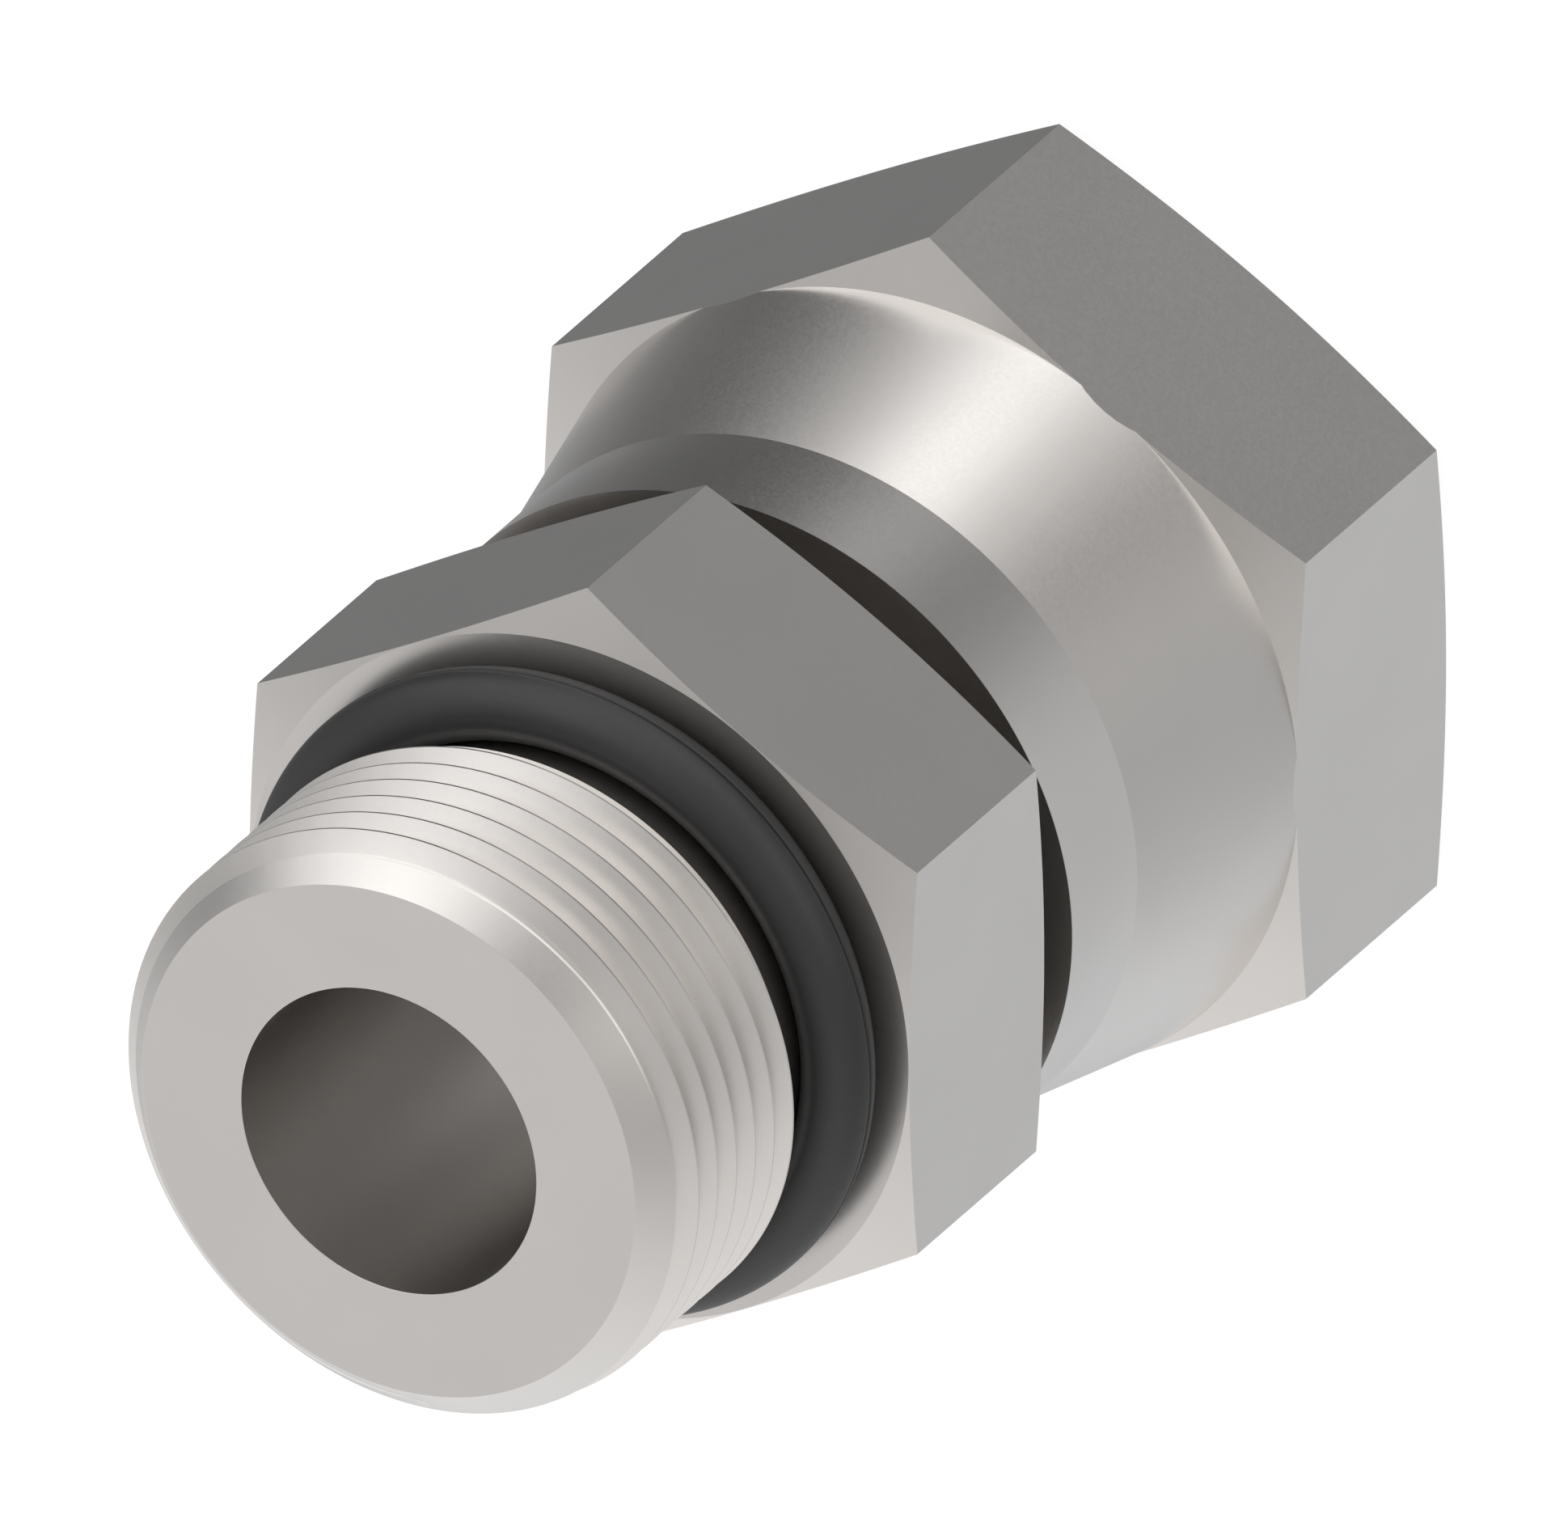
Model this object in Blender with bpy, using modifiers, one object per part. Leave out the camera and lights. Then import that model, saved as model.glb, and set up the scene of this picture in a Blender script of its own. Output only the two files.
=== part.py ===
"""Straight adapter: a threaded port stud and a swivel pipe nut on one hexagon body. Metres, +Z up.

The fitting stands on the open end of its nut, with the stud on top. The origin is the centre of the nut's
end face, and every piece is turned about the Z axis.
"""

import math

import bmesh
import bpy

MM = 0.001

# Port stud of the body, measured from its end face down to the hexagon.
STUD_THREAD_DIAMETER = 18.88 * MM
STUD_THREAD_PITCH = 1.10 * MM
STUD_THREAD_LENGTH = 7.38 * MM
STUD_THREAD_PHASE = 0.69 * MM
STUD_THREAD_ROOT_RADIUS = 0.47 * MM
STUD_CHAMFER = 1.14 * MM
STUD_LENGTH = 11.12 * MM
BORE_DIAMETER = 9.93 * MM

# Seal ring in the undercut below the stud's thread. Its seat is a hair lower than the rim of the
# hexagon's face, which meets the port.
RING_INSIDE_DIAMETER = 16.54 * MM
RING_WIRE_DIAMETER = 2.18 * MM
RING_SEAT_DEPTH = 0.05 * MM

# Hexagon of the body.
BODY_HEX_ACROSS_FLATS = 22.225 * MM
BODY_HEX_LENGTH = 7.89 * MM
HEX_CHAMFER_ANGLE = math.radians(15.5)
HEX_FACE_LAND = 0.02 * MM

# Tail of the body, which the nut turns on.
NUT_GAP = 1.24 * MM
TAIL_GROOVE_DIAMETER = 14.80 * MM
COLLAR_LENGTH = 3.00 * MM
TAIL_DIAMETER = 15.20 * MM
TAIL_LENGTH = 2.60 * MM
NOSE_TIP_DIAMETER = 12.00 * MM
NOSE_ANGLE = math.radians(30)

# Swivel nut, from its rolled lip at the top down to its open end.
NUT_HEX_ACROSS_FLATS = 25.40 * MM
NUT_LENGTH = 19.55 * MM
NECK_DIAMETER = 22.67 * MM
NECK_LENGTH = 3.81 * MM
SHOULDER_DIAMETER = 25.49 * MM
SHOULDER_LENGTH = 6.95 * MM
LIP_THICKNESS = 2.00 * MM
NUT_END_FACE_DIAMETER = 24.80 * MM
NUT_MOUTH_CHAMFER = 1.30 * MM
NUT_BORE_DIAMETER = 19.20 * MM
NUT_THREAD_LENGTH = 10.40 * MM
NUT_RELIEF_LENGTH = 1.90 * MM
NUT_RELIEF_DEPTH = 1.20 * MM

# The play between two pieces that fit in or seat on each other.
CLEARANCE = 0.30 * MM

# The stud's thread has 60 degree flanks, and its crest is a flat of a share of the pitch.
FLANK_SLOPE = math.tan(math.radians(60))
STUD_CREST_SHARE = 1 / 16

# Facets.
ROUND_SEGMENTS = 48
THREAD_SEGMENTS = 40
ROOT_ARC_SEGMENTS = 2
WIRE_SEGMENTS = 12
MERGE_DISTANCE = 0.001 * MM
SHARP_ANGLE = math.radians(10)
CUTTER_OVERRUN = 1.0 * MM
FLANK_OVERRUN = 0.05 * MM

# Heights that the pieces share.
NUT_TOP = NUT_LENGTH
BODY_HEX_BOTTOM = NUT_TOP + NUT_GAP
BODY_HEX_TOP = BODY_HEX_BOTTOM + BODY_HEX_LENGTH
RING_SEAT = BODY_HEX_TOP - RING_SEAT_DEPTH
STUD_TOP = BODY_HEX_TOP + STUD_LENGTH

STEEL_COLOUR = (0.50, 0.48, 0.46, 1.0)
RUBBER_COLOUR = (0.030, 0.030, 0.031, 1.0)


def clear_scene():
    for existing in list(bpy.data.objects):
        bpy.data.objects.remove(existing, do_unlink=True)


def new_collection(name):
    collection = bpy.data.collections.new(name)
    bpy.context.scene.collection.children.link(collection)
    return collection


def new_material(name, colour, roughness, metallic):
    material = bpy.data.materials.new(name)
    material.use_nodes = True
    shader = material.node_tree.nodes["Principled BSDF"]
    shader.inputs["Base Color"].default_value = colour
    shader.inputs["Roughness"].default_value = roughness
    shader.inputs["Metallic"].default_value = metallic
    material.diffuse_color = colour
    return material


def mesh_object(name, built, collection):
    mesh = bpy.data.meshes.new(name)
    built.to_mesh(mesh)
    built.free()
    made = bpy.data.objects.new(name, mesh)
    collection.objects.link(made)
    return made


def outline_object(name, outline, collection):
    """A closed outline of (radius, height) points, drawn in the XZ plane."""
    built = bmesh.new()
    points = [built.verts.new((radius, 0.0, height)) for radius, height in outline]
    for start, end in zip(points, points[1:] + points[:1]):
        built.edges.new((start, end))
    return mesh_object(name, built, collection)


def turned(name, outline, collection):
    """A solid turned about Z. The outline runs down its outer side and back up its bore."""
    made = outline_object(name, outline, collection)
    turn = made.modifiers.new("turn", "SCREW")
    turn.axis = "Z"
    turn.steps = turn.render_steps = ROUND_SEGMENTS
    turn.use_merge_vertices = True
    turn.merge_threshold = MERGE_DISTANCE
    return made


def evaluated_mesh(made):
    bpy.context.view_layer.update()
    graph = bpy.context.evaluated_depsgraph_get()
    return bpy.data.meshes.new_from_object(made.evaluated_get(graph))


def hide_cutter(cutter):
    cutter.hide_render = True
    cutter.display_type = "WIRE"


def hexagon_bar(name, across_flats, length, collection):
    """A bar as long as the piece it trims, with corners at 0, 60, 120 degrees and so on."""
    built = bmesh.new()
    corner_radius = across_flats / math.sqrt(3)
    bmesh.ops.create_cone(
        built, cap_ends=True, segments=6, radius1=corner_radius, radius2=corner_radius, depth=length
    )
    bar = mesh_object(name, built, collection)
    bar.location.z = length / 2 - CUTTER_OVERRUN
    bar.rotation_euler.z = math.radians(30)
    hide_cutter(bar)
    return bar


def helical_cutter(name, section, pitch, turns, start_height, collection):
    """A right-hand thread groove: the section climbs one pitch a turn from start_height, at angle 0."""
    cutter = outline_object(name, section, collection)
    climb = cutter.modifiers.new("climb", "SCREW")
    climb.axis = "Z"
    climb.screw_offset = pitch
    climb.iterations = turns
    climb.steps = climb.render_steps = THREAD_SEGMENTS
    swept = evaluated_mesh(cutter)
    cutter.modifiers.clear()
    built = bmesh.new()
    built.from_mesh(swept)
    bmesh.ops.holes_fill(built, edges=built.edges, sides=len(section))
    bmesh.ops.recalc_face_normals(built, faces=built.faces)
    built.to_mesh(cutter.data)
    built.free()
    bpy.data.meshes.remove(swept)
    cutter.location.z = start_height
    hide_cutter(cutter)
    return cutter


def add_boolean(made, operation, cutter):
    step = made.modifiers.new(cutter.name, "BOOLEAN")
    step.operation = operation
    step.solver = "EXACT"
    step.object = cutter


def finish(made, material):
    """Applies the modifiers, shades the round faces smooth and sets the material."""
    made.data = evaluated_mesh(made)
    made.data.name = made.name
    made.modifiers.clear()
    made.data.shade_smooth()
    made.data.set_sharp_from_angle(angle=SHARP_ANGLE)
    made.data.materials.clear()
    made.data.materials.append(material)


def stud_groove_section():
    """The stud's thread groove: 60 degree flanks on a round root, open above the crest."""
    half_width = STUD_THREAD_PITCH * (1 - STUD_CREST_SHARE) / 2
    crest = STUD_THREAD_DIAMETER / 2
    arc_centre = crest - FLANK_SLOPE * half_width + 2 * STUD_THREAD_ROOT_RADIUS
    mouth = crest + FLANK_OVERRUN
    half_mouth = half_width + FLANK_OVERRUN / FLANK_SLOPE
    outer = crest + CUTTER_OVERRUN
    section = [(outer, half_mouth), (mouth, half_mouth)]
    for step in range(2 * ROOT_ARC_SEGMENTS + 1):
        angle = math.radians(60) * (1 - step / ROOT_ARC_SEGMENTS)
        section.append(
            (
                arc_centre - STUD_THREAD_ROOT_RADIUS * math.cos(angle),
                STUD_THREAD_ROOT_RADIUS * math.sin(angle),
            )
        )
    return section + [(mouth, -half_mouth), (outer, -half_mouth)]


def chamfer_drop(run):
    return run * math.tan(HEX_CHAMFER_ANGLE)


def body_outline():
    crest = STUD_THREAD_DIAMETER / 2
    undercut = RING_INSIDE_DIAMETER / 2 - CLEARANCE
    thread_bottom = STUD_TOP - STUD_THREAD_LENGTH
    rim = RING_INSIDE_DIAMETER / 2 + RING_WIRE_DIAMETER + CLEARANCE / 2
    hex_face = BODY_HEX_ACROSS_FLATS / 2 - HEX_FACE_LAND
    flange = BODY_HEX_ACROSS_FLATS / math.sqrt(3) + CUTTER_OVERRUN
    drop = chamfer_drop(flange - hex_face)
    groove = TAIL_GROOVE_DIAMETER / 2
    collar = NUT_BORE_DIAMETER / 2 - CLEARANCE
    collar_top = NUT_TOP - LIP_THICKNESS - CLEARANCE
    collar_bottom = collar_top - COLLAR_LENGTH
    tail = TAIL_DIAMETER / 2
    tail_bottom = collar_bottom - TAIL_LENGTH
    tip = NOSE_TIP_DIAMETER / 2
    tip_height = tail_bottom - (tail - tip) / math.tan(NOSE_ANGLE)
    bore = BORE_DIAMETER / 2
    return [
        (crest - STUD_CHAMFER, STUD_TOP),
        (crest, STUD_TOP - STUD_CHAMFER),
        (crest, thread_bottom),
        (undercut, thread_bottom - (crest - undercut)),
        (undercut, RING_SEAT),
        (rim, RING_SEAT),
        (rim, BODY_HEX_TOP),
        (hex_face, BODY_HEX_TOP),
        (flange, BODY_HEX_TOP - drop),
        (flange, BODY_HEX_BOTTOM + drop),
        (hex_face, BODY_HEX_BOTTOM),
        (groove, BODY_HEX_BOTTOM),
        (groove, collar_top),
        (collar, collar_top),
        (collar, collar_bottom),
        (tail, collar_bottom - (collar - tail)),
        (tail, tail_bottom),
        (tip, tip_height),
        (bore, tip_height),
        (bore, STUD_TOP),
    ]


def nut_outline():
    neck = NECK_DIAMETER / 2
    shoulder = SHOULDER_DIAMETER / 2
    shoulder_bottom = NUT_TOP - NECK_LENGTH - SHOULDER_LENGTH
    flange = NUT_HEX_ACROSS_FLATS / math.sqrt(3) + CUTTER_OVERRUN
    end_face = NUT_END_FACE_DIAMETER / 2
    bore = NUT_BORE_DIAMETER / 2
    relief = bore + NUT_RELIEF_DEPTH
    relief_top = NUT_THREAD_LENGTH + NUT_RELIEF_LENGTH
    lip = TAIL_GROOVE_DIAMETER / 2 + CLEARANCE
    lip_bottom = NUT_TOP - LIP_THICKNESS
    return [
        (lip, NUT_TOP),
        (neck, NUT_TOP),
        (neck, NUT_TOP - NECK_LENGTH),
        (shoulder, shoulder_bottom),
        (flange, shoulder_bottom - chamfer_drop(flange - shoulder)),
        (flange, chamfer_drop(flange - end_face)),
        (end_face, 0.0),
        (bore + NUT_MOUTH_CHAMFER, 0.0),
        (bore, NUT_MOUTH_CHAMFER),
        (bore, NUT_THREAD_LENGTH),
        (relief, NUT_THREAD_LENGTH),
        (relief, relief_top),
        (bore, relief_top),
        (bore, lip_bottom),
        (lip, lip_bottom),
    ]


def make_adapter_body(parts, cutters, steel):
    body = turned("adapter_body", body_outline(), parts)
    bar = hexagon_bar("body_hexagon", BODY_HEX_ACROSS_FLATS, STUD_TOP + 2 * CUTTER_OVERRUN, cutters)
    add_boolean(body, "INTERSECT", bar)
    turns_below = math.ceil((STUD_THREAD_LENGTH - STUD_THREAD_PHASE) / STUD_THREAD_PITCH + 0.5)
    groove = helical_cutter(
        "stud_thread_groove",
        stud_groove_section(),
        STUD_THREAD_PITCH,
        turns_below + 1,
        STUD_TOP - STUD_THREAD_PHASE - turns_below * STUD_THREAD_PITCH,
        cutters,
    )
    add_boolean(body, "DIFFERENCE", groove)
    finish(body, steel)
    return body


def make_o_ring(parts, rubber):
    wire_radius = RING_WIRE_DIAMETER / 2
    bpy.ops.mesh.primitive_torus_add(
        major_radius=RING_INSIDE_DIAMETER / 2 + wire_radius,
        minor_radius=wire_radius,
        major_segments=ROUND_SEGMENTS,
        minor_segments=WIRE_SEGMENTS,
        location=(0.0, 0.0, RING_SEAT + CLEARANCE + wire_radius),
    )
    ring = bpy.context.object
    ring.name = ring.data.name = "o_ring"
    for holder in list(ring.users_collection):
        holder.objects.unlink(ring)
    parts.objects.link(ring)
    finish(ring, rubber)
    return ring


def make_swivel_nut(parts, cutters, steel):
    nut = turned("swivel_nut", nut_outline(), parts)
    bar = hexagon_bar("nut_hexagon", NUT_HEX_ACROSS_FLATS, NUT_TOP + 2 * CUTTER_OVERRUN, cutters)
    add_boolean(nut, "INTERSECT", bar)
    finish(nut, steel)
    return nut


def main():
    clear_scene()
    parts = new_collection("straight_adapter")
    cutters = new_collection("straight_adapter_cutters")
    body_steel = new_material("body_plated_steel", STEEL_COLOUR, 0.34, 1.0)
    nut_steel = new_material("nut_plated_steel", STEEL_COLOUR, 0.30, 1.0)
    rubber = new_material("black_rubber", RUBBER_COLOUR, 0.45, 0.0)
    make_adapter_body(parts, cutters, body_steel)
    make_o_ring(parts, rubber)
    make_swivel_nut(parts, cutters, nut_steel)


main()
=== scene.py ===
"""Finished pieces of a straight adapter, built round its solids, with the stage that shows them.

Each operator makes one piece or the stage. Run as a script, the file makes them all in order.
"""

import math

import bmesh
import bpy
from bpy.props import FloatProperty, FloatVectorProperty, IntProperty, PointerProperty
from mathutils import Matrix, Vector


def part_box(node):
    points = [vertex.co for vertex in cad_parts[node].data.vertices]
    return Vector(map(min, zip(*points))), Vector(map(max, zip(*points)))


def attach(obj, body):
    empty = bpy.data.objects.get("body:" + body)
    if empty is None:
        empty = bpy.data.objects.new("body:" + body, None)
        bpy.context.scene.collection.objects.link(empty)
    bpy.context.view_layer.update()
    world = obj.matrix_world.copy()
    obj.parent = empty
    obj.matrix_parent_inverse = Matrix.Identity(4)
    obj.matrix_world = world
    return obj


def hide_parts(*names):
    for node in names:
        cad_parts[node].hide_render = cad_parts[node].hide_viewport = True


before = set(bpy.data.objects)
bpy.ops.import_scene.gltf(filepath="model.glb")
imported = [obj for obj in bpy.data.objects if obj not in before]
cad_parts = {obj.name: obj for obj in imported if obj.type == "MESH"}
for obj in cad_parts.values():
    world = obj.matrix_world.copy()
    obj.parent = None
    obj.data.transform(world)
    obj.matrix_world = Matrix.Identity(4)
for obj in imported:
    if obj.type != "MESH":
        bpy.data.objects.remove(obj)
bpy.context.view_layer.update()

bl_info = {
    "name": "Straight Adapter Pieces",
    "version": (1, 0, 0),
    "blender": (4, 5, 0),
    "location": "3D View > Sidebar > Adapter",
    "description": "Builds the finished pieces of a straight adapter and its stage",
    "category": "Object",
}

MM = 0.001

# Sizes that the solids already settle.
BODY_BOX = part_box("adapter_body")
RING_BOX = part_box("o_ring")
NUT_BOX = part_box("swivel_nut")
NOSE_TIP, STUD_TOP = BODY_BOX[0].z, BODY_BOX[1].z
NUT_TOP = NUT_BOX[1].z
RING_WIRE = RING_BOX[1].z - RING_BOX[0].z

# Facets. An arc's step stays under the angle at which an edge is shaded sharp.
LATHE_STEPS = 192
THREAD_STEPS = 144
ROOT_STEPS = 14
RING_STEPS = 48
CORNER_STEPS = 6
SHARP_ANGLE = math.radians(11)
ARC_STEP = math.radians(9)
MERGE_DISTANCE = 0.001 * MM
SLIVER_LENGTH = MERGE_DISTANCE / 10
OVERRUN = 1.0 * MM

# Threads have flanks of 60 degrees. Their crests and roots are shares of the pitch.
FLANK_ANGLE = math.radians(60)
GROOVE_OVERRUN = 0.05 * MM
STUD_CREST = 1 / 16
NUT_CREST = 1 / 4
NUT_ROOT = 1 / 8

# The tail between the body's hexagon and its nose, which the nut hides.
COLLAR_DROP = 2.3 * MM
COLLAR_LENGTH = 3.0 * MM
TAIL_RADIUS = 7.6 * MM
TAIL_LENGTH = 2.6 * MM
LIP_GAP = 0.3 * MM

# Small fits: the face's rim inside the flats, the undercut inside the ring, and the ring above its
# seat.
FACE_SETBACK = 0.02 * MM
RING_GAP = 0.02 * MM
RING_LIFT = 0.01 * MM

# Rounded edges and fillets of the steel.
FINE_ROUND = 0.1 * MM
NOSE_ROUND = 0.15 * MM
SMALL_ROUND = 0.2 * MM
UNDERCUT_ROUND = 0.25 * MM
WIDE_ROUND = 0.3 * MM
GROOVE_ROUND = 0.4 * MM
TAIL_ROUND = 0.6 * MM

# The moulding line across its width: half widths from its middle and shares of its depth. The
# ring's plain facets start at the clearance, in half widths. The line is a real groove, and its
# colour and sheen are also darkened by the shade's share as painted shade.
MOULDING_LINE = ((-1.0, 0.0), (-0.75, 0.8), (0.0, 1.0), (0.75, 0.8), (1.0, 0.0))
LINE_CLEARANCE = 1.5
LINE_SHADE = 0.95

# Grain of the finishes. Scales are per metre, and nearly all of a noise lies between low and high.
NOISE_LOW, NOISE_HIGH = 0.3, 0.7
TURNING_SCALE = 5200.0
DRAWN_SCALE = 4200.0
DRAWN_STRETCH = 0.02
STEEL_GRAIN_SCALE = 9000.0
STEEL_CLOUD_SCALE = 260.0
RUBBER_GRAIN_SCALE = 7000.0
RUBBER_BLOOM_SCALE = 300.0
MARKS_SHARE = 0.35
SEED_SHIFT = 0.013
GRAIN_DEPTH = 0.004 * MM
STEEL_BUMP, RUBBER_BUMP = 0.25, 0.2
STEEL_TONE_SPREAD, RUBBER_TONE_SPREAD = 0.015, 0.06
STEEL_ROUGH_SPREAD, RUBBER_ROUGH_SPREAD = 0.025, 0.03

# Spanner flats, six to a hexagon. A face is one where its normal is level, points away from the
# axis and lies within the tolerance of one of six directions, in degrees.
HEX_SIDES = 6
HEX_STEP = 360.0 / HEX_SIDES
FLAT_TOLERANCE = 0.2
LEVEL_SHARE = 0.999
OUTWARD_SHARE = 0.8

WHITE = (1.0, 1.0, 1.0, 1.0)


def length(name, description, default):
    """A length property, in metres."""
    return FloatProperty(
        name=name, description=description, default=default, min=0.0, precision=5, unit="LENGTH"
    )


def angle(name, description, degrees):
    return FloatProperty(
        name=name, description=description, default=math.radians(degrees), subtype="ANGLE"
    )


def colour(name, description, default):
    return FloatVectorProperty(
        name=name,
        description=description,
        default=default,
        size=3,
        min=0.0,
        max=1.0,
        subtype="COLOR",
    )


class BodySizes(bpy.types.PropertyGroup):
    across_flats: length("Across Flats", "Width of the body's hexagon", 2 * BODY_BOX[1].y)
    hex_length: length("Hexagon Length", "Length of the body's hexagon", 7.89 * MM)
    stud_length: length("Stud Length", "From the hexagon to the stud's end face", 11.12 * MM)
    thread_diameter: length("Thread Diameter", "Over the crests of the stud's thread", 18.88 * MM)
    thread_pitch: length("Thread Pitch", "Rise of the stud's thread in one turn", 1.10 * MM)
    thread_length: length("Thread Length", "From the stud's end face to the undercut", 7.38 * MM)
    thread_phase: length("Thread Phase", "Depth of the first groove at angle 0", 0.75 * MM)
    root_radius: length("Root Radius", "Round at the bottom of the thread", 0.20 * MM)
    end_chamfer: length("End Chamfer", "Chamfer at the stud's free end", 1.14 * MM)
    bore_diameter: length("Bore", "Diameter of the hole right through the body", 9.93 * MM)
    tail_groove: length("Tail Groove", "Diameter under the nut's rolled lip", 14.8 * MM)
    collar_diameter: length("Collar", "Diameter of the collar that the nut's lip holds", 18.6 * MM)
    nose_diameter: length("Nose Tip", "Diameter of the cone seat at its tip", 12.0 * MM)


class NutSizes(bpy.types.PropertyGroup):
    across_flats: length("Across Flats", "Width of the nut's hexagon", 2 * NUT_BOX[1].y)
    neck_diameter: length("Neck Diameter", "Plain round end of the nut", 22.67 * MM)
    neck_length: length("Neck Length", "Length of the plain round end", 3.81 * MM)
    shoulder_diameter: length("Shoulder Diameter", "Cone where it meets the hexagon", 25.49 * MM)
    shoulder_length: length("Shoulder Length", "Length of the cone", 6.95 * MM)
    lip_thickness: length("Lip Thickness", "Rolled lip round the body's tail", 2.0 * MM)
    end_face: length("End Face", "Diameter of the flat open end", 24.8 * MM)
    mouth_chamfer: length("Mouth Chamfer", "Chamfer at the nut's open end", 1.3 * MM)
    bore_diameter: length("Bore", "Diameter over the crests of the nut's thread", 19.2 * MM)
    thread_pitch: length("Thread Pitch", "Rise of the nut's thread in one turn", 25.4 / 14 * MM)
    thread_length: length("Thread Length", "From the open end to the relief", 10.4 * MM)
    relief_length: length("Relief Length", "Groove above the nut's thread", 1.9 * MM)
    relief_depth: length("Relief Depth", "Depth of that groove", 1.2 * MM)


class RingSizes(bpy.types.PropertyGroup):
    wire_diameter: length("Wire Diameter", "Thickness of the seal ring", RING_WIRE)
    middle_radius: length("Middle Radius", "From the axis to the middle of the wire", 9.36 * MM)
    parting_width: length("Parting Width", "Width of the moulding line round the ring", 0.11 * MM)
    parting_depth: length("Parting Depth", "Depth of that line", 0.15 * MM)


class Finishes(bpy.types.PropertyGroup):
    hex_chamfer_angle: angle("Hexagon Chamfer", "Slope of the chamfers of both hexagons", 15.5)
    edge_break: length("Edge Break", "Radius of the broken edges of the steel", 0.02 * MM)
    steel: colour("Steel", "Colour of the plated steel", (0.803, 0.776, 0.752))
    steel_roughness: FloatProperty(
        name="Steel Roughness", description="Satin of the plating", default=0.30, min=0.0, max=1.0
    )
    # Painted shade: how much darker the steel's colour is made in the gap between the parts.
    gap_shade_share: FloatProperty(
        name="Painted Gap Shade", description="Share of light lost in the gap", default=0.2, min=0.0, max=1.0
    )
    rubber: colour("Rubber", "Colour of the seal ring", (0.020, 0.020, 0.0205))
    rubber_roughness: FloatProperty(
        name="Rubber Roughness", description="Spread of the sheen", default=0.48, min=0.0, max=1.0
    )
    rubber_sheen: FloatProperty(
        name="Rubber Sheen", description="Strength of the sheen", default=0.72, min=0.0, max=1.0
    )
    seed: IntProperty(name="Seed", description="Shift of the grain between pieces", default=3)


class StageSettings(bpy.types.PropertyGroup):
    view_width: length("View Width", "Width that the camera frames", 45.74 * MM)
    camera_distance: length("Camera Distance", "From the object's middle to the camera", 0.3)
    tilt: angle("Tilt", "Angle from the object's axis to the line of sight", 41.4)
    side: angle("Side", "Direction round the axis from which the camera looks", -100.9)
    roll: angle("Roll", "Turn of the picture about the line of sight", 40.92)
    floor_size: length("Floor Size", "Width of the floor", 4.0)


GROUPS = {
    "adapter_body_sizes": BodySizes,
    "adapter_nut_sizes": NutSizes,
    "adapter_ring_sizes": RingSizes,
    "adapter_finishes": Finishes,
    "adapter_stage": StageSettings,
}


# Outlines and turned blanks


def rounded(corners):
    """The points of an outline of (radius, height, edge radius) corners, with arcs where round."""
    points = []
    neighbours = zip(corners[-1:] + corners[:-1], corners, corners[1:] + corners[:1])
    for before, corner, after in neighbours:
        here = Vector(corner[:2])
        if not corner[2]:
            points.append(here)
            continue
        to_before = (Vector(before[:2]) - here).normalized()
        to_after = (Vector(after[:2]) - here).normalized()
        inside = to_before.angle(to_after)
        turn = math.pi - inside
        reach = corner[2] * math.tan(turn / 2)
        centre = here + (to_before + to_after).normalized() * corner[2] / math.sin(inside / 2)
        start = here + to_before * reach - centre
        sign = 1 if to_before.x * to_after.y < to_before.y * to_after.x else -1
        steps = max(2, math.ceil(turn / ARC_STEP))
        for step in range(steps + 1):
            points.append(centre + Matrix.Rotation(sign * turn * step / steps, 2) @ start)
    return points


def outline_object(name, points, flat=False):
    """A closed outline, standing in the XZ plane, or lying in the XY plane where flat."""
    built = bmesh.new()
    corners = [built.verts.new((a, b, 0.0) if flat else (a, 0.0, b)) for a, b in points]
    for start, end in zip(corners, corners[1:] + corners[:1]):
        built.edges.new((start, end))
    return linked_object(name, built)


def linked_object(name, built):
    """An object of the scene with the mesh that was built, which is freed."""
    mesh = bpy.data.meshes.new(name)
    built.to_mesh(mesh)
    built.free()
    made = bpy.data.objects.new(name, mesh)
    bpy.context.scene.collection.objects.link(made)
    return made


def turned(name, corners):
    """A lathe blank. The outline runs down its outer side and back up its bore."""
    blank = outline_object(name, rounded(corners))
    turn = blank.modifiers.new("turn", "SCREW")
    turn.axis = "Z"
    turn.steps = turn.render_steps = LATHE_STEPS
    turn.use_merge_vertices = True
    turn.merge_threshold = MERGE_DISTANCE
    return blank


def evaluated_mesh(made):
    bpy.context.view_layer.update()
    graph = bpy.context.evaluated_depsgraph_get()
    return bpy.data.meshes.new_from_object(
        made.evaluated_get(graph), preserve_all_data_layers=True, depsgraph=graph
    )


def bake_modifiers(made):
    """Turns the evaluated object into its plain mesh."""
    old = made.data
    made.data = evaluated_mesh(made)
    made.modifiers.clear()
    bpy.data.meshes.remove(old)
    made.data.name = made.name


# Node trees


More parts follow.
